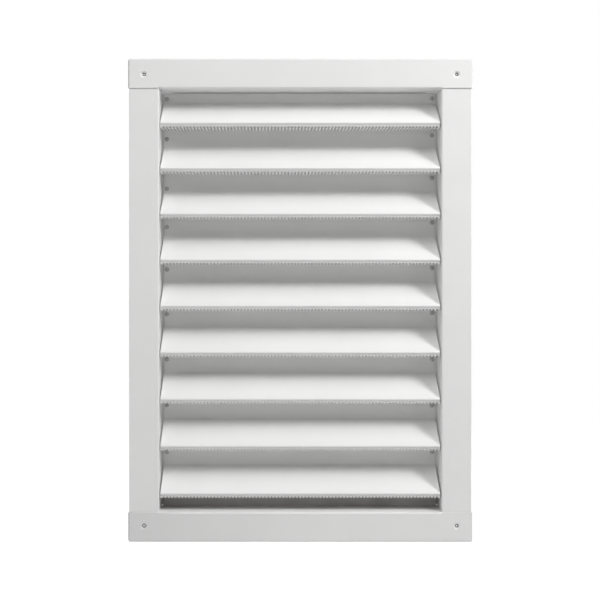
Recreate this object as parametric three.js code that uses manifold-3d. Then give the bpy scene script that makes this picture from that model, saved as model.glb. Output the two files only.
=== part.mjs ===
// Aluminium wall louvre vent for a 12 x 18 in opening, as used in gables, soffits and van
// walls: a folded flange frame of two jambs, a head and a sill, and nine roll-formed
// louvres. Each louvre is one sheet: a leg, a slope, a rolled nose, a lip, a screened
// underside and an upturned rear edge, over which the next louvre's leg is hooked.
//
// Millimetres, +Z up, the front faces -Y. The origin is the centre of the opening, in the
// plane of the wall that the flanges lie against, so the body reaches into +Y.

import * as THREE from 'three';
import { mergeVertices } from 'three/addons/utils/BufferGeometryUtils.js';
import Module from 'manifold-3d';

const wasm = await Module();
wasm.setup();

// ---------------------------------------------------------------- driving dimensions

const openingWidth = 304.8; // clear, between the jambs
const openingHeight = 457.2; // clear, between the head and the sill
const sheet = 0.7; // thickness of every folded sheet
const fit = 0.3; // clearance between sheets that lap, hook or butt

const jambFlange = 32.2; // face of a jamb, from the opening to its outer edge
const railFlange = 31.8; // face of the head and of the sill
const hemLength = 10; // outer edge folded back on itself
const jambHemGap = 0.3; // space inside a jamb's hem
const frameBend = 1.2; // radius of the frame's bends, to the middle of the sheet
const backFlange = 12; // inward flange that carries the louvre ends
const headDrop = 10; // rear edge of the head, behind the first louvre
const notchOverlap = 2; // how far the head's and sill's inner fold runs into the face

const louverCount = 9;
const slopeDepth = 28; // from nose to leg
const slopeRise = 25; // from nose to valley
const firstLeg = 12.1; // first valley to the head
const sillAir = 14.7; // last underside to the sill
const pitchGrowth = 0.3; // each louvre hangs this much lower in its hook than the one above
const lipDrop = 2.1; // lip folded back at 45 degrees under the nose
const bandDrop = 2.8; // upright band between lip and underside
const seamHeight = 6; // upturned rear edge of the underside
const noseSetback = 1.2; // nose behind the jambs' face
const endGap = 1.3; // louvre end to jamb
const valleyBend = 2.5;
const noseBend = 1.2;
const lipBend = 0.8;
const bandBend = 1;
const seamBend = 1;

const slotPitch = 14.4; // screen openings, along the louvre
const slotWidth = 7.2;
const slotMargin = 1.5; // metal left behind them
const slotEndMargin = 6; // unpunched length at each end of the louvre

const nailInset = 17; // nail holes, from the frame's outer corner, both ways
const nailHoleRadius = 2.2; // in the head's and sill's face
const pilotRadius = 0.7; // in the jamb's face behind, which the nail widens
const dimpleRadius = 3.8;
const dimpleDepth = 0.8;
const dimpleRim = 0.7; // flat rim of a dimple, lapped into the face round it

const rivetInset = 5.6; // rivets, from the jamb's inside face
// The rivets are set by hand. Each one's height is a share of the way up the part of its
// leg that the head fits on, from the top louvre down.
const rivetRise = {
  left: [0.18, 0.47, 0, 0.57, 0.76, 0.79, 0.82, 0.83, 0.74],
  right: [0.35, 0.81, 0.95, 0.95, 0.89, 0.9, 0.82, 0.79, 0.77],
};
const rivetRadius = 1.6;
const rivetHeadRadius = 2.4;
const rivetHeadHeight = 0.8;
const rivetTailRadius = 2.2;
const rivetTailLength = 3.6;
const rivetTailBulge = 0.9; // from the flange to the tail's widest point
const rivetPlay = 0.1; // between a rivet and what it passes through or bears on

const bendFacet = 0.7; // length of one facet of a louvre's bend
const frameFacet = 0.4; // and of the frame's, whose edges are in full view
const roundSides = 8; // facets round a rivet or its hole
const dimpleSides = 12;
const domeSteps = 3; // facets from the rim of a rivet's head to its top
const overrun = 1; // how far a cutter runs past what it cuts

// ---------------------------------------------------------------- derived places

const halfWidth = openingWidth / 2;
const halfHeight = openingHeight / 2;
const jambFaceY = -(jambHemGap + 1.5 * sheet); // middle of the jambs' face
const railFaceY = jambFaceY - sheet - fit; // the rails lap over the jambs
const noseY = jambFaceY - sheet / 2 + noseSetback;
const legY = noseY + slopeDepth; // middle of every leg
const backFlangeY = legY + sheet + fit;
const seamY = legY - sheet - fit; // middle of the upturned rear edges
const hookRadius = sheet + fit; // a leg's hook clears the upturned edge on both sides

const jambEdge = halfWidth + jambFlange;
const railEnd = jambEdge + fit + sheet; // outside of the rails' end tabs
const railEdge = halfHeight + railFlange;
const bodyEdge = halfWidth + sheet; // outside of the body that enters the wall

const jambHemBend = (-sheet / 2 - jambFaceY) / 2; // bend radii of the hems, to mid-sheet
const railHemBend = (-sheet / 2 - railFaceY) / 2;
const railHemStart = railEdge - sheet / 2 - railHemBend; // where a rail's face turns back

const undersideZ = -(lipDrop + bandDrop); // measured from the nose
const firstNoseZ = halfHeight - firstLeg - slopeRise;
const lastNoseZ = -halfHeight + sillAir - undersideZ;
const pitchGrowths = ((louverCount - 1) * (louverCount - 2)) / 2; // between first and last
const firstPitch = (firstNoseZ - lastNoseZ - pitchGrowth * pitchGrowths) / (louverCount - 1);
const bladePitch = pitchBelow(louverCount - 2); // all are folded for the widest spacing
const louverLength = openingWidth - 2 * endGap;

// ---------------------------------------------------------------- materials

const enamel = { color: 0xf1f1ef, roughness: 0.38, metalness: 0 };
const rivetMetal = { color: 0xcfcfcc, roughness: 0.4, metalness: 0.6 };

// ---------------------------------------------------------------- solids

function toSolid(geometry) {
  geometry.deleteAttribute('normal');
  geometry.deleteAttribute('uv');
  const merged = mergeVertices(geometry);
  const mesh = new wasm.Mesh({
    numProp: 3,
    vertProperties: new Float32Array(merged.attributes.position.array),
    triVerts: new Uint32Array(merged.index.array),
  });
  return new wasm.Manifold(mesh);
}

function toGeometry(solid) {
  const { vertProperties, triVerts } = solid.getMesh();
  const geometry = new THREE.BufferGeometry();
  geometry.setAttribute('position', new THREE.BufferAttribute(vertProperties, 3));
  geometry.setIndex(new THREE.BufferAttribute(triVerts, 1));
  return geometry;
}

function named(name, geometry, finish) {
  const mesh = new THREE.Mesh(geometry, new THREE.MeshStandardMaterial(finish));
  mesh.name = name;
  return mesh;
}

// Box between two limits along each axis.
function block([x0, x1], [y0, y1], [z0, z1]) {
  const geometry = new THREE.BoxGeometry(x1 - x0, y1 - y0, z1 - z0);
  geometry.translate((x0 + x1) / 2, (y0 + y1) / 2, (z0 + z1) / 2);
  return toSolid(geometry);
}

// Round cutter along Y.
function drill(radius, x, z, [y0, y1], sides) {
  const geometry = new THREE.CylinderGeometry(radius, radius, y1 - y0, sides);
  geometry.translate(x, (y0 + y1) / 2, z);
  return toSolid(geometry);
}

// ---------------------------------------------------------------- folded sheets

// Middle line of a folded sheet. A route is a list of corners [a, b, bend radius]; each
// corner becomes an arc, and each point keeps the heading of the sheet there.
function middleLine(route, facet) {
  const corners = route.map(([a, b]) => new THREE.Vector2(a, b));
  const line = [];
  for (let i = 0; i < corners.length; i++) {
    const before = corners[i - 1];
    const after = corners[i + 1];
    if (!before || !after) {
      const way = before ? corners[i].clone().sub(before) : after.clone().sub(corners[i]);
      line.push({ point: corners[i], heading: way.angle() });
      continue;
    }
    const headingIn = corners[i].clone().sub(before).angle();
    const headingOut = after.clone().sub(corners[i]).angle();
    const turn = THREE.MathUtils.euclideanModulo(headingOut - headingIn + Math.PI, 2 * Math.PI)
      - Math.PI;
    const radius = route[i][2];
    const side = Math.sign(turn);
    const setback = radius * Math.tan(Math.abs(turn) / 2);
    const start = corners[i].clone().sub(along(headingIn, setback));
    const centre = start.clone().add(along(headingIn + Math.PI / 2, side * radius));
    const facets = Math.max(1, Math.round((Math.abs(turn) * radius) / facet));
    for (let k = 0; k <= facets; k++) {
      const heading = headingIn + (turn * k) / facets;
      const point = centre.clone().sub(along(heading + Math.PI / 2, side * radius));
      line.push({ point, heading });
    }
  }
  return line;
}

function along(heading, distance) {
  return new THREE.Vector2(Math.cos(heading), Math.sin(heading)).multiplyScalar(distance);
}

// Closed outline of the sheet: the middle line offset by half the thickness to each side.
function foldedSection(route, facet) {
  const line = middleLine(route, facet);
  const offset = (side) => line.map(({ point, heading }) =>
    point.clone().add(along(heading + Math.PI / 2, (side * sheet) / 2)));
  return new THREE.Shape([...offset(1), ...offset(-1).reverse()]);
}

// Sheet whose section lies in the YZ plane, running along X.
function foldAlongX(route, [x0, x1], facet = frameFacet) {
  const options = { depth: x1 - x0, bevelEnabled: false };
  const geometry = new THREE.ExtrudeGeometry(foldedSection(route, facet), options);
  geometry.translate(0, 0, x0);
  const toYZ = new THREE.Matrix4().makeBasis(
    new THREE.Vector3(0, 1, 0),
    new THREE.Vector3(0, 0, 1),
    new THREE.Vector3(1, 0, 0),
  );
  return toSolid(geometry.applyMatrix4(toYZ));
}

// Sheet whose section lies in the XY plane, running along Z.
function foldAlongZ(route, [z0, z1], facet = frameFacet) {
  const options = { depth: z1 - z0, bevelEnabled: false };
  const geometry = new THREE.ExtrudeGeometry(foldedSection(route, facet), options);
  return toSolid(geometry.translate(0, 0, z0));
}

// Hook at the top of a leg, over an upturned edge that stands on an underside at height z.
// It lists the corners from the hook's free end to the top of the leg.
function hookOver(z) {
  const top = z + seamHeight + hookRadius;
  const freeEnd = z + sheet / 2 + seamBend;
  return [
    [legY - 2 * hookRadius, freeEnd],
    [legY - 2 * hookRadius, top, hookRadius],
    [legY, top, hookRadius],
  ];
}

// ---------------------------------------------------------------- frame

// side is -1 for the left jamb and 1 for the right one.
function jamb(side) {
  const foldX = jambEdge - sheet / 2;
  const webX = halfWidth + sheet / 2;
  const route = [
    [jambEdge - hemLength, -sheet / 2],
    [foldX, -sheet / 2, jambHemBend],
    [foldX, jambFaceY, jambHemBend],
    [webX, jambFaceY, frameBend],
    [webX, backFlangeY, frameBend],
    [halfWidth - backFlange, backFlangeY],
  ].map(([x, y, radius]) => [side * x, y, radius]);

  const halfLength = railHemStart - fit;
  const cuts = [];
  const cups = [];
  for (const end of [-1, 1]) {
    const beyond = (z) => ordered(end * z, end * (railEdge + overrun));
    // The body stops at the head and the sill; only the face runs on under their faces.
    cuts.push(block(
      ordered(side * (halfWidth - backFlange - overrun), side * (bodyEdge + fit)),
      [jambFaceY - overrun, backFlangeY + overrun],
      beyond(halfHeight - fit),
    ));
    // The hem stops at the rail's hem.
    cuts.push(block(
      ordered(side * (jambEdge - hemLength - overrun), side * (jambEdge + overrun)),
      [jambFaceY + sheet / 2, overrun],
      beyond(railEdge - hemLength - fit),
    ));
    const { x, z } = nailPlace(side, end);
    cuts.push(drill(dimpleRadius + dimpleRim / 2, x, z, across(jambFaceY), dimpleSides));
    cups.push(dimple(x, z, jambFaceY, pilotRadius));
  }
  for (let row = 0; row < louverCount; row++) {
    const { x, z } = rivetPlace(side, row);
    cuts.push(drill(rivetRadius + rivetPlay, x, noseZ(row) + z, across(backFlangeY),
      roundSides));
  }
  const sheetCut = cutAway(foldAlongZ(route, [-halfLength, halfLength]), cuts);
  return wasm.Manifold.union([sheetCut, ...cups]);
}

// Nail holes lie where rail and jamb faces lap, at the four corners.
function nailPlace(side, end) {
  return { x: side * (railEnd - nailInset), z: end * (railEdge - nailInset) };
}

// Face and hem of a rail, over its full length, with end tabs that cover the jambs' edges
// and two dimpled nail holes. end is 1 for the head and -1 for the sill.
function railFace(end) {
  const foldZ = railEdge - sheet / 2;
  const face = foldAlongX([
    [-sheet / 2, end * (railEdge - hemLength)],
    [-sheet / 2, end * foldZ, railHemBend],
    [railFaceY, end * foldZ, railHemBend],
    [railFaceY, end * halfHeight],
  ], [-jambEdge, jambEdge]);

  const parts = [face];
  const holes = [];
  for (const side of [-1, 1]) {
    const tabX = side * (railEnd - sheet / 2);
    parts.push(foldAlongZ([
      [side * (jambEdge - notchOverlap), railFaceY],
      [tabX, railFaceY, frameBend],
      [tabX, 0],
    ], ordered(end * halfHeight, end * (railHemStart - fit))));
    const { x, z } = nailPlace(side, end);
    holes.push(drill(dimpleRadius + dimpleRim / 2, x, z, across(railFaceY), dimpleSides));
    parts.push(dimple(x, z, railFaceY, nailHoleRadius));
  }
  return { parts, holes };
}

// Dish pressed into a face, with a hole in its floor. Its rim is the face's own sheet. A rail's
// dish ends at its nail hole and nests in the jamb's, whose floor is left whole but for a pilot.
function dimple(x, z, faceY, holeRadius) {
  const dish = [[dimpleRadius + dimpleRim, 0], [dimpleRadius, 0], [nailHoleRadius, dimpleDepth]];
  if (holeRadius < nailHoleRadius) dish.push([holeRadius, dimpleDepth]);
  const offset = (side) => dish.map(([radius, depth]) =>
    new THREE.Vector2(radius, faceY + depth + (side * sheet) / 2));
  const profile = [...offset(1), ...offset(-1).reverse(), offset(1)[0]];
  const geometry = new THREE.LatheGeometry(profile, dimpleSides);
  return toSolid(geometry.translate(x, 0, z));
}

// A rail is its face and, between the jambs, the fold that turns into the opening.
function rail(end, fold, cuts) {
  const { parts, holes } = railFace(end);
  const [face, ...added] = parts;
  const mouth = block([-bodyEdge, bodyEdge], across(railFaceY),
    ordered(end * (halfHeight - overrun), end * (halfHeight + frameBend + sheet)));
  const joined = wasm.Manifold.union([cutAway(face, [mouth, ...holes]), fold, ...added]);
  return cutAway(joined, cuts);
}

function head() {
  const fold = foldAlongX([
    [railFaceY, halfHeight + frameBend + sheet + notchOverlap],
    [railFaceY, halfHeight + sheet / 2, frameBend],
    [backFlangeY, halfHeight + sheet / 2, frameBend],
    [backFlangeY, halfHeight - headDrop],
  ], [-bodyEdge, bodyEdge]);
  // The rear edge fits between the jambs' back flanges.
  const cuts = [-1, 1].map((side) => block(
    ordered(side * (halfWidth - backFlange - fit), side * (bodyEdge + overrun)),
    across(backFlangeY),
    [halfHeight - headDrop - overrun, halfHeight],
  ));
  return rail(1, fold, cuts);
}

function sill() {
  const fold = foldAlongX([
    [railFaceY, -(halfHeight + frameBend + sheet + notchOverlap)],
    [railFaceY, -(halfHeight + sheet / 2), frameBend],
    [legY, -(halfHeight + sheet / 2), frameBend],
    ...hookOver(lastNoseZ + undersideZ).reverse(),
  ], [-bodyEdge, bodyEdge]);
  // The rear leg fits between the jambs and clears the bends behind their webs.
  const cuts = [-1, 1].map((side) => block(
    ordered(side * (halfWidth - frameBend), side * (bodyEdge + overrun)),
    [railFaceY + frameBend + sheet, backFlangeY],
    [-halfHeight, lastNoseZ + slopeRise],
  ));
  return rail(-1, fold, cuts);
}

// ---------------------------------------------------------------- louvres

// From a row's nose to the next one's.
function pitchBelow(row) {
  return firstPitch + row * pitchGrowth;
}

function noseZ(row) {
  return row === 0 ? firstNoseZ : noseZ(row - 1) - pitchBelow(row - 1);
}

// Top of a row's flat leg, measured from its own nose: the head or the underside above.
function legTop(row) {
  return row === 0 ? slopeRise + firstLeg - frameBend : pitchBelow(row - 1) + undersideZ - sheet;
}

// A rivet's place in its row. Its head stays on the flat of the leg.
function rivetPlace(side, row) {
  const valleyTurn = Math.atan2(slopeDepth, slopeRise);
  const flatStart = slopeRise + valleyBend * Math.tan(valleyTurn / 2);
  const reach = rivetHeadRadius + rivetPlay;
  const rises = side < 0 ? rivetRise.left : rivetRise.right;
  return {
    x: side * (halfWidth - rivetInset),
    z: THREE.MathUtils.lerp(flatStart + reach, legTop(row) - reach, rises[row % rises.length]),
  };
}

// The louvres below the first are all one blade. Where the rows are closer, the hook stands
// higher over the upturned edge that it holds.
function louver(row) {
  const top = row === 0 ? [[legY, legTop(row)]] : hookOver(bladePitch + undersideZ);
  const blade = foldAlongX([
    ...top,
    [legY, slopeRise, valleyBend],
    [noseY, 0, noseBend],
    [noseY + lipDrop, -lipDrop, lipBend],
    [noseY + lipDrop, undersideZ, bandBend],
    [seamY, undersideZ, seamBend],
    [seamY, undersideZ + seamHeight],
  ], [-louverLength / 2, louverLength / 2], bendFacet);

  const rivetHoles = [-1, 1].map((side) => {
    const { x, z } = rivetPlace(side, row);
    return drill(rivetRadius + rivetPlay, x, z, across(legY), roundSides);
  });
  return cutAway(blade, [...rivetHoles, ...screenSlots()]);
}

// The screen: a row of openings spread evenly along the louvre. Each starts in the upright
// band behind the lip, turns the corner with the sheet and runs back through the underside.
function screenSlots() {
  const top = -lipDrop - lipBend / 2;
  const front = noseY + lipDrop - sheet;
  const rear = legY - 2 * hookRadius - sheet / 2 - slotMargin;
  const run = louverLength - 2 * slotEndMargin;
  const count = Math.floor((run - slotWidth) / slotPitch) + 1;
  const slots = [];
  for (let i = 0; i < count; i++) {
    const x = (i - (count - 1) / 2) * slotPitch;
    const width = [x - slotWidth / 2, x + slotWidth / 2];
    slots.push(block(width, [front, rear], [undersideZ - sheet, top]));
  }
  return slots;
}

// Blind rivet through leg and back flange: a domed head in front and the upset tail behind.
// Its axis is Y and it starts at the leg's front.
function rivet() {
  const tailStart = 2 * sheet + fit + rivetPlay;
  const profile = [];
  for (let step = 0; step <= domeSteps; step++) {
    const angle = (step / domeSteps) * (Math.PI / 2);
    profile.push([
      rivetHeadRadius * Math.sin(angle),
      -rivetPlay - rivetHeadHeight * Math.cos(angle),
    ]);
  }
  profile.push(
    [rivetRadius, -rivetPlay],
    [rivetRadius, tailStart],
    [rivetTailRadius, tailStart + rivetTailBulge],
    [rivetRadius, tailStart + rivetTailLength],
    [0, tailStart + rivetTailLength],
  );
  const points = profile.map(([radius, y]) => new THREE.Vector2(radius, y));
  return new THREE.LatheGeometry(points, roundSides);
}

// ---------------------------------------------------------------- helpers

function cutAway(solid, cutters) {
  return cutters.length ? solid.subtract(wasm.Manifold.union(cutters)) : solid;
}

function ordered(a, b) {
  return a < b ? [a, b] : [b, a];
}

// Limits of a cutter that goes through a sheet.
function across(middle) {
  return [middle - overrun, middle + overrun];
}

// ---------------------------------------------------------------- assembly

const vent = new THREE.Group();

const frame = new THREE.Group();
frame.add(named('left_jamb', toGeometry(jamb(-1)), enamel));
frame.add(named('right_jamb', toGeometry(jamb(1)), enamel));
frame.add(named('head_rail', toGeometry(head()), enamel));
frame.add(named('sill_rail', toGeometry(sill()), enamel));
vent.add(frame);

for (let row = 0; row < louverCount; row++) {
  const louverRow = new THREE.Group();
  louverRow.position.z = noseZ(row);
  louverRow.add(named(`louver_${row + 1}`, toGeometry(louver(row)), enamel));
  for (const [label, side] of [['left', -1], ['right', 1]]) {
    const fastener = named(`${label}_rivet_${row + 1}`, rivet(), rivetMetal);
    const { x, z } = rivetPlace(side, row);
    fastener.position.set(x, legY - sheet / 2, z);
    louverRow.add(fastener);
  }
  vent.add(louverRow);
}

export default vent;
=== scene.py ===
"""Louvered wall vent: the looks. Metres, +Z up; the vent faces -Y and its origin is the centre
of the wall opening, in the plane of the wall that the flange lies on.

The folded frame stays as the CAD nodes, with finer shading and enamel, and with shade painted
into that enamel in a few places. Each louvre and rivet is replaced by a finer piece that is
built from its node's place: the louvres get their real punched screen and round bends, the
rivets their pulled mandrels.
"""

import math

import bmesh
import bpy
import numpy as np
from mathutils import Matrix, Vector


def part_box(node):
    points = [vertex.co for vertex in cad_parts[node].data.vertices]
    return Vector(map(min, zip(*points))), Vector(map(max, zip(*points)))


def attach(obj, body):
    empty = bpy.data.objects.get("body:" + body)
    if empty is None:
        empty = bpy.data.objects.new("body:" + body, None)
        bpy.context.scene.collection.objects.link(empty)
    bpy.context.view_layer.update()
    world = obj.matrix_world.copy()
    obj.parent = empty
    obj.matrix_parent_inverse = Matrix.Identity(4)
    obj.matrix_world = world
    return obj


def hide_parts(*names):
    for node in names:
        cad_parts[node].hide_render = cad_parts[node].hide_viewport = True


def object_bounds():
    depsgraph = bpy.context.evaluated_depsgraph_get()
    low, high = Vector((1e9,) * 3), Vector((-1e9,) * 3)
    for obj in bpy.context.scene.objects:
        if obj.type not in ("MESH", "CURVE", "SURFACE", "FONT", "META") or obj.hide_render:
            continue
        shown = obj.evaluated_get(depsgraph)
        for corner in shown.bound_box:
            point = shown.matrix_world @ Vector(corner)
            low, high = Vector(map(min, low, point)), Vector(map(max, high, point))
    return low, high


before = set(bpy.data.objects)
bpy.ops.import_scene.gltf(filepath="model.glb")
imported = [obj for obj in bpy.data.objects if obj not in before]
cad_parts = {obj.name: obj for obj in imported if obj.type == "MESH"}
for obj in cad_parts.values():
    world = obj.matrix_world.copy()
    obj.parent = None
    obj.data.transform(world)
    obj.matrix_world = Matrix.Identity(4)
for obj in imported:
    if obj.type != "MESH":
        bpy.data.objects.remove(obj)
cad_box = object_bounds()

# ------------------------------------------------------------------ sizes

MM = 0.001
SHEET = 0.7 * MM            # thickness of the folded aluminium
FLANGE_HALF = (cad_box[1].x, cad_box[1].z)      # half its width and height
RAIL_START = 228.7 * MM     # the rails' faces lie further than this above or below the middle
SEAM_FIT = 0.3 * MM         # clearance where a leg hooks over the sheet above
LOUVER_COUNT = 9

SLOPE_DEPTH = 28 * MM       # from nose to leg
SLOPE_RISE = 25 * MM        # from nose to valley
LIP_DROP = 2.1 * MM         # 45 degree lip under the nose
BAND_DROP = 2.8 * MM        # upright band between lip and underside
SEAM_HEIGHT = 6 * MM        # upturned rear edge
VALLEY_BEND = 2.5 * MM      # bend radii, to the middle of the sheet
NOSE_BEND = 1.2 * MM
LIP_BEND = 0.8 * MM
BAND_BEND = 1 * MM
SEAM_BEND = 1 * MM
HOOK_BEND = SHEET + SEAM_FIT
ARC_STEP = math.radians(11.25)          # turn between two stations on a bend
HOLD = 0.12 * MM            # short flat beside each bend, which keeps its shading off the flats
FLAT_SLACK = 0.001 * MM     # for telling that a point lies on the underside

SLOT_PITCH = 3.62 * MM      # screen slots, along the louvre
LEG_TRIM = 1.1 * MM         # how much a leg is cut back at each end; the slope tapers to it
SCREEN_END = 2.4 * MM       # unpunched length at each end of a louvre
SCREEN_DROP = 0.7 * MM      # how far down the upright band the front slots start
SCREEN_MARGIN = (0.3 * MM, 0.6 * MM)    # plain sheet before the screen and behind it
TOOTH_RETURN = 4.2 * MM     # how far the front slots run on under the corner
SLOT_LENGTH = 5 * MM        # the rows behind them, from front to back
SLOT_BAR = 1.4 * MM         # metal between rows
SCREEN_ROWS = 3
SHARP_FOLD = math.radians(35)           # a steeper edge than this is shaded as an edge

# ------------------------------------------------------------------ folded sheet


def direction(heading):
    """Unit vector in the plane of a section, whose axes are Y and Z."""
    return np.array([math.cos(heading), math.sin(heading)])


def middle_line(route):
    """Stations (point, heading) along a folded sheet. A route is a list of corners (y, z,
    bend radius); the ends have no radius."""
    corners = [np.array(c[:2], float) for c in route]
    line = []
    for i, corner in enumerate(corners):
        if i == 0 or i == len(corners) - 1:
            way = corners[1] - corners[0] if i == 0 else corner - corners[-2]
            line.append((corner, math.atan2(way[1], way[0])))
            continue
        way_in = corner - corners[i - 1]
        way_out = corners[i + 1] - corner
        heading_in = math.atan2(way_in[1], way_in[0])
        heading_out = math.atan2(way_out[1], way_out[0])
        turn = (heading_out - heading_in + math.pi) % (2 * math.pi) - math.pi
        side = math.copysign(1, turn)
        radius = route[i][2]
        setback = radius * math.tan(abs(turn) / 2)
        start = corner - direction(heading_in) * setback
        centre = start + direction(heading_in + math.pi / 2) * side * radius
        line.append((start - direction(heading_in) * HOLD, heading_in))
        steps = max(2, round(abs(turn) / ARC_STEP))
        for k in range(steps + 1):
            heading = heading_in + turn * k / steps
            line.append((centre - direction(heading + math.pi / 2) * side * radius, heading))
        end = corner + direction(heading_out) * setback
        line.append((end + direction(heading_out) * HOLD, heading_out))
    return line


def cut_line(line, places):
    """Adds a station at each length along the line, and returns the line and their numbers."""
    points = np.array([p for p, _ in line])
    lengths = np.concatenate([[0], np.cumsum(np.linalg.norm(np.diff(points, axis=0), axis=1))])
    headings = [h for _, h in line]
    stations = [(s, p, h) for s, p, h in zip(lengths, points, headings)]
    for place in places:
        k = int(np.searchsorted(lengths, place)) - 1
        share = (place - lengths[k]) / (lengths[k + 1] - lengths[k])
        turn = (headings[k + 1] - headings[k] + math.pi) % (2 * math.pi) - math.pi
        point = points[k] + (points[k + 1] - points[k]) * share
        stations.append((place, point, headings[k] + turn * share))
    stations.sort(key=lambda s: s[0])
    marks = [next(i for i, s in enumerate(stations) if s[0] == place) for place in places]
    return [(p, h) for _, p, h in stations], marks


def length_at(line, test):
    """Length along the line of the first station whose point passes the test."""
    total = 0.0
    for k, (point, _) in enumerate(line):
        if k:
            total += float(np.linalg.norm(point - line[k - 1][0]))
        if test(point):
            return total
    raise ValueError("no station passes")


PAINTED, WASHED, CUT = 0, 1, 2      # material slots: front coat, back coat, bare edges


class SheetMesh:
    """Grid of stations along a folded section and columns along X, on both faces of the
    sheet, closed round its edges and its holes. Face -1 is the painted front."""

    def __init__(self, line, columns, fine, hole, trim):
        self.line = line
        self.columns = columns
        self.trim = trim          # how much shorter the sheet is at each end of a station
        self.fine = fine          # fine[k]: station k has every column, else only the ends
        self.hole = hole          # hole(k, j): the cell from station k and column j is open
        self.points = []
        self.faces = []
        self.coats = []
        self.index = {}

    def vertex(self, face, k, j):
        key = (face, k, j)
        if key not in self.index:
            point, heading = self.line[k]
            y, z = point + direction(heading + math.pi / 2) * face * SHEET / 2
            x = self.columns[j]
            if j == 0:
                x += self.trim[k]
            elif j == len(self.columns) - 1:
                x -= self.trim[k]
            self.index[key] = len(self.points)
            self.points.append((x, y, z))
        return self.index[key]

    def row(self, k):
        last = len(self.columns) - 1
        return list(range(last + 1)) if self.fine[k] else [0, last]

    def add(self, coat, *corners):
        self.faces.append([self.vertex(*corner) for corner in corners])
        self.coats.append(coat)

    def edge(self, a, b):
        """Cut edge of the sheet between two places (station, column)."""
        self.add(CUT, (1, *a), (1, *b), (-1, *b), (-1, *a))

    def build(self):
        last = len(self.columns) - 1
        for k in range(len(self.line) - 1):
            if self.fine[k] and self.fine[k + 1]:
                self.fine_strip(k, last)
            else:
                self.plain_strip(k)
            for j in (0, last):
                self.edge((k, j), (k + 1, j))
        for k in (0, len(self.line) - 1):
            row = self.row(k)
            for a, b in zip(row, row[1:]):
                self.edge((k, a), (k, b))
        return self.points, self.faces, self.coats

    def plain_strip(self, k):
        for face, coat in ((1, WASHED), (-1, PAINTED)):
            near = [(face, k, j) for j in self.row(k)]
            far = [(face, k + 1, j) for j in self.row(k + 1)]
            self.add(coat, *near, *far[::-1])

    def fine_strip(self, k, last):
        for j in range(last):
            if not self.hole(k, j):
                for face, coat in ((1, WASHED), (-1, PAINTED)):
                    self.add(coat, (face, k, j), (face, k, j + 1),
                             (face, k + 1, j + 1), (face, k + 1, j))
                continue
            walls = [((k, j), (k, j + 1), self.hole(k - 1, j)),
                     ((k + 1, j), (k + 1, j + 1), self.hole(k + 1, j)),
                     ((k, j), (k + 1, j), self.hole(k, j - 1)),
                     ((k, j + 1), (k + 1, j + 1), self.hole(k, j + 1))]
            for a, b, open_beyond in walls:
                if not open_beyond:
                    self.edge(a, b)


def mesh_object(name, points, faces, coats, materials, sharp=SHARP_FOLD):
    mesh = bpy.data.meshes.new(name)
    mesh.from_pydata(points, [], faces)
    for material in materials:
        mesh.materials.append(material)
    mesh.polygons.foreach_set("material_index", coats)
    work = bmesh.new()
    work.from_mesh(mesh)
    bmesh.ops.recalc_face_normals(work, faces=work.faces)
    work.to_mesh(mesh)
    work.free()
    mesh.polygons.foreach_set("use_smooth", [True] * len(mesh.polygons))
    mesh.set_sharp_from_angle(angle=sharp)
    piece = bpy.data.objects.new(name, mesh)
    bpy.context.scene.collection.objects.link(piece)
    return piece


# ------------------------------------------------------------------ materials

ENAMEL = (0.855, 0.855, 0.85)
WASH_COAT = (0.76, 0.765, 0.75)
BARE_ALUMINIUM = (0.5, 0.5, 0.5)
RIVET_METAL = (0.4, 0.4, 0.39)
# painted shade in the sill's channel below the last louvre
CHANNEL_SHADE = (0.46, 0.445, 0.43)
# painted shade down the nail holes
HOLE_SHADE_GREY = (0.16, 0.16, 0.16)
# bare cut ends, also used as painted shade on the rails' left ends and the sill's bottom fold
CUT_END_AND_SHADE = (0.43, 0.43, 0.425)
# painted shade towards the sill's left end
SILL_SHADE_GREY = (0.6, 0.6, 0.6)

# what varies over a surface: size of its features, noise detail, lowest and highest value
ENAMEL_TONE = (60 * MM, 3.0, 0.985, 1.01)
ENAMEL_GRAIN = (0.9 * MM, 1.0, 0.992, 1.008)
ENAMEL_ROUGHNESS = (30 * MM, 3.0, 0.36, 0.46)
WASH_STREAKS = (12 * MM, 3.0, 0.95, 1.04)
WASH_GRAIN = (0.8 * MM, 1.0, 0.98, 1.02)
WASH_ROUGHNESS = (20 * MM, 3.0, 0.48, 0.6)
# uneven patches in the painted shade of the sill's channel
CHANNEL_SHADE_PATCHES = (20 * MM, 4.0, 0.7, 0.95)
RAGGED_EDGE = (3 * MM, 3.0, -0.2 * MM, 0.2 * MM)

# relief: size of its features, noise detail, depth
ORANGE_PEEL = (1.1 * MM, 2.0, 0.012 * MM)
ROLLED_RIPPLE = (3.5 * MM, 1.0, 0.02 * MM)
SLOW_WAVE = (85 * MM, 1.0, 0.35 * MM)
OXIDE_DEPTH = 0.03 * MM

ALONG_X = (0.05, 1.0, 1.0)  # draws features out along X
ALONG_Z = (1.0, 1.0, 0.4)   # and a little along Z
COAT_ROUNDING = 0.6 * MM    # how far the coat rounds an edge
NOISE_RANGE = (0.3, 0.7)    # what most of a noise lies between

BACK_ROUGHNESS = 0.15       # how much rougher the frame's back is than its front
BACK_TILT = 0.2             # Y of the way out, whose X and Z are those of the place itself
LOOKS_OUT = 0.02            # least dot product of the way out and the normal on a back
LOOKS_BACK = 0.5            # least Y of the normal on the back of the flange's face
WALL_CLEAR = 0.5 * MM       # how far the two backs keep from the wall's plane
CHANNEL_SHADE_BACK = (7 * MM, 20 * MM)           # Y where the painted shade in the sill's channel starts, and where it is full
CHANNEL_SHADE_UP = (-214 * MM, -196 * MM)        # Z up to which it is full, and where it ends
SILL_SHADE_SHARE = 0.42          # how far the sill's left end is darkened by painted shade
SILL_SHADE_END = 30 * MM        # X from which the sill has no painted shade

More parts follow.
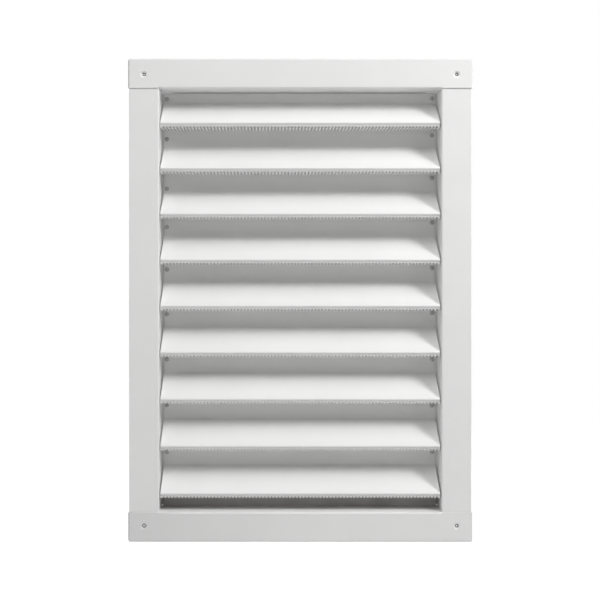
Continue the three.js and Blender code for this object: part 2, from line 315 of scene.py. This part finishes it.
# bare cut edges at the rails' right ends, and painted shade along their left ends and the sill's
# bottom fold: full up to the first distance from the edge, gone at the second
LEFT_END_SHADE = (0.9 * MM, 1.5 * MM)
RIGHT_SHEAR = (0.05 * MM, 0.15 * MM)
FOLD_SHADE = (0.8 * MM, 1.5 * MM)
FOLD_SHADE_SHARE = 0.45

NAIL_PLACE = (168.6 * MM, 243.4 * MM)   # X and Z of the nail holes, from the middle
NAIL_DARK = 2.1 * MM        # radius of the painted shade down a nail hole
NAIL_DARK_EDGE = 0.5 * MM   # width over which the painted shade fades out
NAIL_DARK_SHARE = 0.9       # how much of the enamel the painted shade hides


class Nodes:
    """A material's node tree. Places and sizes are in metres."""

    def __init__(self, name):
        self.material = bpy.data.materials.new(name)
        self.material.use_nodes = True
        self.tree = self.material.node_tree
        self.shader = self.tree.nodes["Principled BSDF"]
        self.place = self.tree.nodes.new("ShaderNodeTexCoord").outputs["Object"]

    def coat(self, colour, roughness):
        self.link(colour, self.shader.inputs["Base Color"])
        self.link(roughness, self.shader.inputs["Roughness"])

    def link(self, source, target):
        self.tree.links.new(source, target)

    def plug(self, socket, value):
        if isinstance(value, bpy.types.NodeSocket):
            self.link(value, socket)
        else:
            socket.default_value = value

    def noise(self, size, detail, stretch=None):
        """Noise from 0 to 1, with features of about the given size."""
        node = self.tree.nodes.new("ShaderNodeTexNoise")
        place = self.place
        if stretch:
            scaled = self.tree.nodes.new("ShaderNodeVectorMath")
            scaled.operation = "MULTIPLY"
            scaled.inputs[1].default_value = stretch
            self.link(place, scaled.inputs[0])
            place = scaled.outputs[0]
        self.link(place, node.inputs["Vector"])
        node.inputs["Scale"].default_value = 1 / size
        node.inputs["Detail"].default_value = detail
        return node.outputs["Fac"]

    def vary(self, size, detail, low, high, stretch=None):
        """Noise between two values, with features of about the given size."""
        return self.remap(self.noise(size, detail, stretch), low, high)

    def axes(self, vector=None):
        """X, Y and Z of a vector, or of the place on the surface."""
        node = self.tree.nodes.new("ShaderNodeSeparateXYZ")
        self.link(vector or self.place, node.inputs[0])
        return node.outputs

    def remap(self, value, low, high, start=NOISE_RANGE[0], end=NOISE_RANGE[1]):
        """Low up to where the value is at start, high from where it is at end."""
        node = self.tree.nodes.new("ShaderNodeMapRange")
        self.link(value, node.inputs["Value"])
        limits = {"From Min": start, "From Max": end, "To Min": low, "To Max": high}
        for name, number in limits.items():
            node.inputs[name].default_value = number
        return node.outputs[0]

    def math(self, operation, a, b=None):
        node = self.tree.nodes.new("ShaderNodeMath")
        node.operation = operation
        self.plug(node.inputs[0], a)
        if b is not None:
            self.plug(node.inputs[1], b)
        return node.outputs[0]

    def mix(self, amount, a, b):
        node = self.tree.nodes.new("ShaderNodeMix")
        node.data_type = "RGBA"
        self.plug(node.inputs["Factor"], amount)
        for socket, value in ((node.inputs["A"], a), (node.inputs["B"], b)):
            if isinstance(value, tuple):
                value = (*value, 1.0)
            self.plug(socket, value)
        return node.outputs["Result"]

    def shade(self, colour, amount):
        """The colour times an amount near 1."""
        node = self.tree.nodes.new("ShaderNodeVectorMath")
        node.operation = "SCALE"
        self.plug(node.inputs[0], colour)
        self.link(amount, node.inputs["Scale"])
        return node.outputs[0]

    def relief(self, *layers):
        """Layers of (height 0 to 1, depth), over edges rounded by the coat."""
        rounding = self.tree.nodes.new("ShaderNodeBevel")
        rounding.inputs["Radius"].default_value = COAT_ROUNDING
        normal = rounding.outputs[0]
        for height, depth in layers:
            node = self.tree.nodes.new("ShaderNodeBump")
            node.inputs["Distance"].default_value = depth
            self.link(height, node.inputs["Height"])
            self.link(normal, node.inputs["Normal"])
            normal = node.outputs[0]
        self.link(normal, self.shader.inputs["Normal"])


def paint_relief(nodes):
    """Baked paint on thin rolled sheet: fine orange peel over slow waviness."""
    peel_size, peel_detail, peel_depth = ORANGE_PEEL
    ripple_size, ripple_detail, ripple_depth = ROLLED_RIPPLE
    wave_size, wave_detail, wave_depth = SLOW_WAVE
    nodes.relief((nodes.noise(peel_size, peel_detail), peel_depth),
                 (nodes.noise(ripple_size, ripple_detail, ALONG_Z), ripple_depth),
                 (nodes.noise(wave_size, wave_detail), wave_depth))


def enamel_material(name, in_frame=False):
    nodes = Nodes(name)
    shade = nodes.math("MULTIPLY", nodes.vary(*ENAMEL_TONE), nodes.vary(*ENAMEL_GRAIN))
    colour = nodes.shade(ENAMEL, shade)
    rough = nodes.vary(*ENAMEL_ROUGHNESS)
    if in_frame:
        back = frame_back(nodes)
        colour = nodes.mix(back, colour, nodes.shade(WASH_COAT, shade))
        # painted shade: the sill's channel darkened below the last louvre
        colour = nodes.mix(sill_channel_shade(nodes), colour, CHANNEL_SHADE)
        # painted shade: the sill greyer towards its left end, where less light falls
        colour = nodes.mix(sill_left_shade(nodes), colour, SILL_SHADE_GREY)
        # bare right ends of the rails; painted shade on their left ends and along the sill's
        # bottom fold
        colour = nodes.mix(rail_ends_and_shade(nodes), colour, CUT_END_AND_SHADE)
        # painted shade down the nail holes
        colour = nodes.mix(nail_hole_shade(nodes), colour, HOLE_SHADE_GREY)
        rough = nodes.math("ADD", rough, nodes.math("MULTIPLY", back, BACK_ROUGHNESS))
    nodes.coat(colour, rough)
    paint_relief(nodes)
    return nodes.material


def wash_material():
    nodes = Nodes("back_wash_coat")
    streaks = nodes.vary(*WASH_STREAKS, stretch=ALONG_X)
    shade = nodes.math("MULTIPLY", streaks, nodes.vary(*WASH_GRAIN))
    nodes.coat(nodes.shade(WASH_COAT, shade), nodes.vary(*WASH_ROUGHNESS))
    paint_relief(nodes)
    return nodes.material


def metal_material(name, colour, size, detail, tone, roughness, metallic):
    """Unpainted metal, whose oxide changes its tone, roughness and relief together."""
    nodes = Nodes(name)
    oxide = nodes.noise(size, detail)
    nodes.coat(nodes.shade(colour, nodes.remap(oxide, *tone)), nodes.remap(oxide, *roughness))
    nodes.shader.inputs["Metallic"].default_value = metallic
    nodes.relief((oxide, OXIDE_DEPTH))
    return nodes.material


def frame_back(nodes):
    """1 on the back of the frame's sheet: what faces away from the opening behind the wall
    line, and the back of the flange's face. The hems turn the paint round to the back."""
    x, y, z = nodes.axes()
    outward = nodes.tree.nodes.new("ShaderNodeCombineXYZ")
    nodes.link(x, outward.inputs[0])
    outward.inputs[1].default_value = BACK_TILT
    nodes.link(z, outward.inputs[2])
    normal = nodes.tree.nodes.new("ShaderNodeNewGeometry").outputs["Normal"]
    dot = nodes.tree.nodes.new("ShaderNodeVectorMath")
    dot.operation = "DOT_PRODUCT"
    nodes.link(outward.outputs[0], dot.inputs[0])
    nodes.link(normal, dot.inputs[1])
    turned_out = nodes.math("GREATER_THAN", dot.outputs["Value"], LOOKS_OUT)
    body = nodes.math("MULTIPLY", turned_out, nodes.math("GREATER_THAN", y, WALL_CLEAR))
    faces_back = nodes.math("GREATER_THAN", nodes.axes(normal)[1], LOOKS_BACK)
    face = nodes.math("MULTIPLY", faces_back, nodes.math("LESS_THAN", y, -WALL_CLEAR))
    return nodes.math("MAXIMUM", body, face)


def sill_channel_shade(nodes):
    """Painted shade in the channel below the last louvre, deep behind the flange: the enamel
    there is darkened in uneven patches, where the louvre above shades it.
    """
    _, y, z = nodes.axes()
    deep = nodes.remap(y, 0.0, 1.0, *CHANNEL_SHADE_BACK)
    low = nodes.remap(z, 1.0, 0.0, *CHANNEL_SHADE_UP)
    return nodes.math("MULTIPLY", nodes.math("MULTIPLY", deep, low), nodes.vary(*CHANNEL_SHADE_PATCHES))


def sill_left_shade(nodes):
    """Painted shade: the sill rail's enamel is made a little greyer towards its left end, where
    less light falls.
    """
    x, _, z = nodes.axes()
    on_sill = nodes.math("LESS_THAN", z, -RAIL_START)
    grey = nodes.remap(x, SILL_SHADE_SHARE, 0.0, -FLANGE_HALF[0], SILL_SHADE_END)
    return nodes.math("MULTIPLY", on_sill, grey)


def rail_ends_and_shade(nodes):
    """The rails' sheared ends: a thin bare edge at the right ends, and at the left ends a wider
    band of painted shade a little way round to the front, where the ends face away from the
    light;
    and painted shade along the sill's bottom fold, which faces down."""
    x, _, z = nodes.axes()
    side, bottom = FLANGE_HALF[0], -FLANGE_HALF[1]
    on_rail = nodes.math("GREATER_THAN", nodes.math("ABSOLUTE", z), RAIL_START)
    ragged = nodes.vary(*RAGGED_EDGE)
    left = nodes.remap(nodes.math("ADD", x, ragged), 1.0, 0.0,
                       LEFT_END_SHADE[0] - side, LEFT_END_SHADE[1] - side)
    right = nodes.remap(x, 0.0, 1.0, side - RIGHT_SHEAR[1], side - RIGHT_SHEAR[0])
    ends = nodes.math("MULTIPLY", on_rail, nodes.math("MAXIMUM", left, right))
    fold = nodes.remap(nodes.math("ADD", z, ragged), FOLD_SHADE_SHARE, 0.0,
                       bottom + FOLD_SHADE[0], bottom + FOLD_SHADE[1])
    return nodes.math("MAXIMUM", ends, fold)


def nail_hole_shade(nodes):
    """Painted shade: 1 down the four nail holes, through the rails into the sheet behind."""
    x, _, z = nodes.axes()
    across = nodes.math("SUBTRACT", nodes.math("ABSOLUTE", x), NAIL_PLACE[0])
    up = nodes.math("SUBTRACT", nodes.math("ABSOLUTE", z), NAIL_PLACE[1])
    square = nodes.math("ADD", nodes.math("MULTIPLY", across, across),
                        nodes.math("MULTIPLY", up, up))
    return nodes.remap(nodes.math("SQRT", square), NAIL_DARK_SHARE, 0.0,
                       NAIL_DARK - NAIL_DARK_EDGE, NAIL_DARK)


enamel = enamel_material("baked_enamel")
frame_enamel_and_shade = enamel_material("frame_enamel_and_shade", in_frame=True)
wash_coat = wash_material()
bare_edge = metal_material("sheared_aluminium", BARE_ALUMINIUM, size=0.4 * MM, detail=2.0,
                           tone=(0.85, 1.1), roughness=(0.35, 0.55), metallic=0.3)
rivet_metal = metal_material("dull_rivet", RIVET_METAL, size=0.9 * MM, detail=3.0,
                             tone=(0.85, 1.12), roughness=(0.34, 0.5), metallic=0.6)
SHEET_COATS = [enamel, wash_coat, bare_edge]    # in the order of PAINTED, WASHED, CUT

# ------------------------------------------------------------------ louvres


def louver_line(number):
    """Section of a louvre, from the top of its leg to the top of its upturned rear edge."""
    low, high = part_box(f"louver_{number}")
    underside = low.z + SHEET / 2
    nose = underside + LIP_DROP + BAND_DROP
    leg = high.y - SHEET / 2
    front = leg - SLOPE_DEPTH
    seam = leg - HOOK_BEND
    if number == 1:
        top = [(leg, high.z)]
    else:
        hook = leg - 2 * HOOK_BEND
        apex = high.z - SHEET / 2
        free_end = apex - HOOK_BEND - SEAM_HEIGHT + SHEET / 2 + SEAM_BEND
        top = [(hook, free_end), (hook, apex, HOOK_BEND), (leg, apex, HOOK_BEND)]
    return middle_line([
        *top,
        (leg, nose + SLOPE_RISE, VALLEY_BEND),
        (front, nose, NOSE_BEND),
        (front + LIP_DROP, nose - LIP_DROP, LIP_BEND),
        (front + LIP_DROP, underside, BAND_BEND),
        (seam, underside, SEAM_BEND),
        (seam, underside + SEAM_HEIGHT),
    ]), nose


def louver(number):
    """Louvre with its screen: slots in rows, the first of which runs round the corner from
    the upright band to the underside."""
    name = f"louver_{number}"
    low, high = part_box(name)
    line, nose = louver_line(number)
    underside = nose - LIP_DROP - BAND_DROP
    band_top = nose - LIP_DROP - LIP_BEND / 2
    leg = high.y - SHEET / 2
    middle = leg - SLOPE_DEPTH / 2

    in_band = length_at(line, lambda p: p[1] < band_top and p[0] < middle)
    on_underside = length_at(line, lambda p: p[1] < underside + FLAT_SLACK)
    rows = [(in_band + SCREEN_DROP, on_underside + TOOTH_RETURN)]
    for r in range(SCREEN_ROWS):
        start = rows[-1][1] + SLOT_BAR
        rows.append((start, start + SLOT_LENGTH))
    lead_in = rows[0][0] - SCREEN_MARGIN[0]
    lead_out = rows[-1][1] + SCREEN_MARGIN[1]
    line, marks = cut_line(line, [lead_in, *[s for row in rows for s in row], lead_out])

    first, last = low.x + SCREEN_END, high.x - SCREEN_END
    cells = 2 * round((last - first) / SLOT_PITCH) - 1
    columns = [low.x, *np.linspace(first, last, cells + 1), high.x]
    spans = [(marks[1 + 2 * r], marks[2 + 2 * r]) for r in range(len(rows))]

    def hole(k, j):
        return 1 <= j <= cells and j % 2 == 1 and any(a <= k < b for a, b in spans)

    fine = [marks[0] < k < marks[-1] for k in range(len(line))]
    nose_station = min(range(len(line)), key=lambda k: line[k][0][0])
    trim = [LEG_TRIM * max(0, 1 - (leg - p[0]) / SLOPE_DEPTH) if k < nose_station else 0
            for k, (p, _) in enumerate(line)]
    blade = SheetMesh(line, columns, fine, hole, trim)
    piece = mesh_object(f"{name}_screened", *blade.build(), SHEET_COATS)
    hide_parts(name)
    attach(piece, "root")


# ------------------------------------------------------------------ rivets

RIVET_SIDES = 32
SHARP_RIVET = math.radians(40)
HEAD_HEIGHT = 0.8 * MM
HEAD_STEPS = 6              # rings on the domed head
BORE = 0.95 * MM            # radii
SHANK = 1.55 * MM
TAIL = 2.15 * MM
GRIP = 1.9 * MM             # length of shank between head and upset tail
RIM = (0.985, 0.95)         # the head's rim in front and behind, as shares of its radius
RIM_BEVEL = 0.02 * MM
TAIL_WIDE = (0.9 * MM, 1.8 * MM)        # where the tail is widest, behind the grip
TAIL_TAPER = 0.93
END_BEVEL = 0.25 * MM
END_TAPER = 0.8
# the broken mandrel and the bore round it, from the axis out: (radius, depth)
MANDREL = [(0, 0.34 * MM), (0.64 * MM, 0.36 * MM), (0.8 * MM, 0.46 * MM), (0.8 * MM, 0.6 * MM),
           (BORE, 0.6 * MM), (BORE, 0.1 * MM), (BORE + 0.06 * MM, 0.02 * MM)]
DOME_START = BORE + 0.2 * MM            # radius where the dome starts
DOME_RISE = HEAD_HEIGHT - 0.12 * MM     # how far back it runs down to the rim


def turned(name, profile, place, material):
    """Solid of revolution about Y. The profile is (radius, y) from the front of the axis to
    its back; place is where y = 0 lies."""
    points, faces, rings = [], [], []
    for radius, y in profile:
        if radius == 0:
            rings.append([len(points)])
            points.append((place.x, place.y + y, place.z))
            continue
        rings.append(range(len(points), len(points) + RIVET_SIDES))
        for k in range(RIVET_SIDES):
            angle = 2 * math.pi * k / RIVET_SIDES
            points.append((place.x + radius * math.cos(angle), place.y + y,
                           place.z + radius * math.sin(angle)))
    for near, far in zip(rings, rings[1:]):
        for k in range(RIVET_SIDES):
            after = (k + 1) % RIVET_SIDES
            corners = [near[k % len(near)], near[after % len(near)],
                       far[after % len(far)], far[k % len(far)]]
            faces.append(list(dict.fromkeys(corners)))
    return mesh_object(name, points, faces, [0] * len(faces), [material], SHARP_RIVET)


def rivet(side, number):
    """Blind rivet: a domed head with the broken mandrel in its bore, and the upset tail."""
    name = f"{side}_rivet_{number}"
    low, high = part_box(name)
    head = (high.x - low.x) / 2
    place = Vector(((low.x + high.x) / 2, low.y, (low.z + high.z) / 2))
    depth = high.y - low.y
    profile = list(MANDREL)
    for k in range(HEAD_STEPS + 1):
        angle = math.pi / 2 * k / HEAD_STEPS
        profile.append((DOME_START + (head - DOME_START) * math.sin(angle) * RIM[0],
                        DOME_RISE * (1 - math.cos(angle))))
    behind = HEAD_HEIGHT + GRIP
    profile += [(head * RIM[0], HEAD_HEIGHT - RIM_BEVEL), (head * RIM[1], HEAD_HEIGHT),
                (SHANK, HEAD_HEIGHT), (SHANK, behind), (TAIL, behind + TAIL_WIDE[0]),
                (TAIL * TAIL_TAPER, behind + TAIL_WIDE[1]), (SHANK, depth - END_BEVEL),
                (SHANK * END_TAPER, depth), (0, depth)]
    piece = turned(f"{name}_pulled", profile, place, rivet_metal)
    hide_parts(name)
    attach(piece, "root")


# ------------------------------------------------------------------ assembly

for number in range(1, LOUVER_COUNT + 1):
    louver(number)
    for side in ("left", "right"):
        rivet(side, number)
for name in ("left_jamb", "right_jamb", "head_rail", "sill_rail"):
    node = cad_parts[name]
    node.data.materials.clear()
    node.data.materials.append(frame_enamel_and_shade)

# ------------------------------------------------------------------ camera

VIEW_WIDTH = 0.6462         # width of the picture at the front of the vent
VIEW_DISTANCE = 1.031       # from the front of the vent
LENS_AXIS = (-0.0332, 0.0563)
VIEW_CENTRE = (-0.0004, 0.0003)
SENSOR = 36.0

camera_data = bpy.data.cameras.new("camera")
camera = bpy.data.objects.new("camera", camera_data)
bpy.context.scene.collection.objects.link(camera)
camera.location = (LENS_AXIS[0], cad_box[0].y - VIEW_DISTANCE, LENS_AXIS[1])
camera.rotation_euler = (math.pi / 2, 0, 0)
camera_data.sensor_width = SENSOR
camera_data.lens = SENSOR * VIEW_DISTANCE / VIEW_WIDTH
camera_data.shift_x = (VIEW_CENTRE[0] - LENS_AXIS[0]) / VIEW_WIDTH
camera_data.shift_y = (VIEW_CENTRE[1] - LENS_AXIS[1]) / VIEW_WIDTH
bpy.context.scene.camera = camera

# ------------------------------------------------------------------ light

TARGET = (0, 0, 0)          # what every lamp points at
LAMPS = [
    # name, degrees right of the front, degrees up, distance, width, height, watts
    ("key", 56, 34, 1.5, 0.37, 0.48, 12.9),
    ("top", -8, 58, 2.3, 1.4, 1.8, 26.2),
    ("side", -78, 8, 2.2, 1.6, 1.6, 8.5),
    ("bounce_left", -60, -36, 2.2, 1.6, 1.6, 5.0),
    ("bounce_right", 55, -36, 2.2, 1.6, 1.6, 4.5),
    ("bounce_low", 0, -68, 2.0, 1.4, 1.4, 7.0),
    ("rear", 160, 25, 1.6, 1.0, 1.0, 15.0),
]
WORLD_LIGHT = 0.05          # what diffuse surfaces receive from the surroundings
FLOOR_Z = -0.9
FLOOR_HALF = 4.0
FLOOR_COLOUR = (0.8, 0.8, 0.8, 1)
FLOOR_GLOW = (0.5, 1.0)     # lifts the lit floor to white: below the vent, and far off
FLOOR_GLOW_REACH = (0.8, 1.4)           # distances at which the first ends and the second starts


def direction_to_lamp(azimuth, elevation):
    flat = math.cos(math.radians(elevation))
    return Vector((flat * math.sin(math.radians(azimuth)),
                   -flat * math.cos(math.radians(azimuth)),
                   math.sin(math.radians(elevation))))


def add_lamp(name, azimuth, elevation, distance, width, height, watts):
    data = bpy.data.lights.new(name, "AREA")
    data.shape = "RECTANGLE"
    data.size = width
    data.size_y = height
    data.energy = watts
    lamp = bpy.data.objects.new(name, data)
    bpy.context.scene.collection.objects.link(lamp)
    towards = direction_to_lamp(azimuth, elevation)
    lamp.location = Vector(TARGET) + towards * distance
    lamp.rotation_euler = towards.to_track_quat("Z", "Y").to_euler()
    lamp.visible_camera = False


def seen_directly(tree):
    """1 for the camera, and for what gloss and glass show; 0 for diffuse light."""
    path = tree.nodes.new("ShaderNodeLightPath")
    total = path.outputs["Is Camera Ray"]
    for name in ("Is Glossy Ray", "Is Transmission Ray"):
        add = tree.nodes.new("ShaderNodeMath")
        add.operation = "ADD"
        add.use_clamp = True
        tree.links.new(total, add.inputs[0])
        tree.links.new(path.outputs[name], add.inputs[1])
        total = add.outputs[0]
    return total


def make_world():
    world = bpy.data.worlds.new("studio")
    bpy.context.scene.world = world
    world.use_nodes = True
    tree = world.node_tree
    background = tree.nodes["Background"]
    background.inputs["Color"].default_value = (1, 1, 1, 1)
    strength = tree.nodes.new("ShaderNodeMapRange")
    strength.inputs["To Min"].default_value = WORLD_LIGHT
    strength.inputs["To Max"].default_value = 1.0
    tree.links.new(seen_directly(tree), strength.inputs["Value"])
    tree.links.new(strength.outputs[0], background.inputs["Strength"])


def make_floor():
    corners = [(x * FLOOR_HALF, y * FLOOR_HALF, FLOOR_Z)
               for x, y in ((-1, -1), (1, -1), (1, 1), (-1, 1))]
    mesh = bpy.data.meshes.new("floor")
    mesh.from_pydata(corners, [], [(0, 1, 2, 3)])
    floor = bpy.data.objects.new("floor", mesh)
    bpy.context.scene.collection.objects.link(floor)
    material = bpy.data.materials.new("floor_paper")
    material.use_nodes = True
    tree = material.node_tree
    tree.nodes.remove(tree.nodes["Principled BSDF"])
    paper = tree.nodes.new("ShaderNodeBsdfDiffuse")
    paper.inputs["Color"].default_value = FLOOR_COLOUR
    glow = tree.nodes.new("ShaderNodeEmission")
    place = tree.nodes.new("ShaderNodeTexCoord").outputs["Object"]
    flat = tree.nodes.new("ShaderNodeVectorMath")
    flat.operation = "MULTIPLY"
    flat.inputs[1].default_value = (1, 1, 0)
    tree.links.new(place, flat.inputs[0])
    distance = tree.nodes.new("ShaderNodeVectorMath")
    distance.operation = "LENGTH"
    tree.links.new(flat.outputs[0], distance.inputs[0])
    ramp = tree.nodes.new("ShaderNodeMapRange")
    ramp.interpolation_type = "SMOOTHSTEP"
    ramp.inputs["From Min"].default_value = FLOOR_GLOW_REACH[0]
    ramp.inputs["From Max"].default_value = FLOOR_GLOW_REACH[1]
    ramp.inputs["To Min"].default_value = FLOOR_GLOW[0]
    ramp.inputs["To Max"].default_value = FLOOR_GLOW[1]
    tree.links.new(distance.outputs["Value"], ramp.inputs["Value"])
    scale = tree.nodes.new("ShaderNodeMath")
    scale.operation = "MULTIPLY"
    tree.links.new(seen_directly(tree), scale.inputs[0])
    tree.links.new(ramp.outputs[0], scale.inputs[1])
    tree.links.new(scale.outputs[0], glow.inputs["Strength"])
    both = tree.nodes.new("ShaderNodeAddShader")
    tree.links.new(paper.outputs[0], both.inputs[0])
    tree.links.new(glow.outputs[0], both.inputs[1])
    tree.links.new(both.outputs[0], tree.nodes["Material Output"].inputs["Surface"])
    mesh.materials.append(material)
    floor.visible_shadow = False


for lamp in LAMPS:
    add_lamp(*lamp)
make_world()
make_floor()

bpy.context.scene.view_settings.view_transform = "Standard"
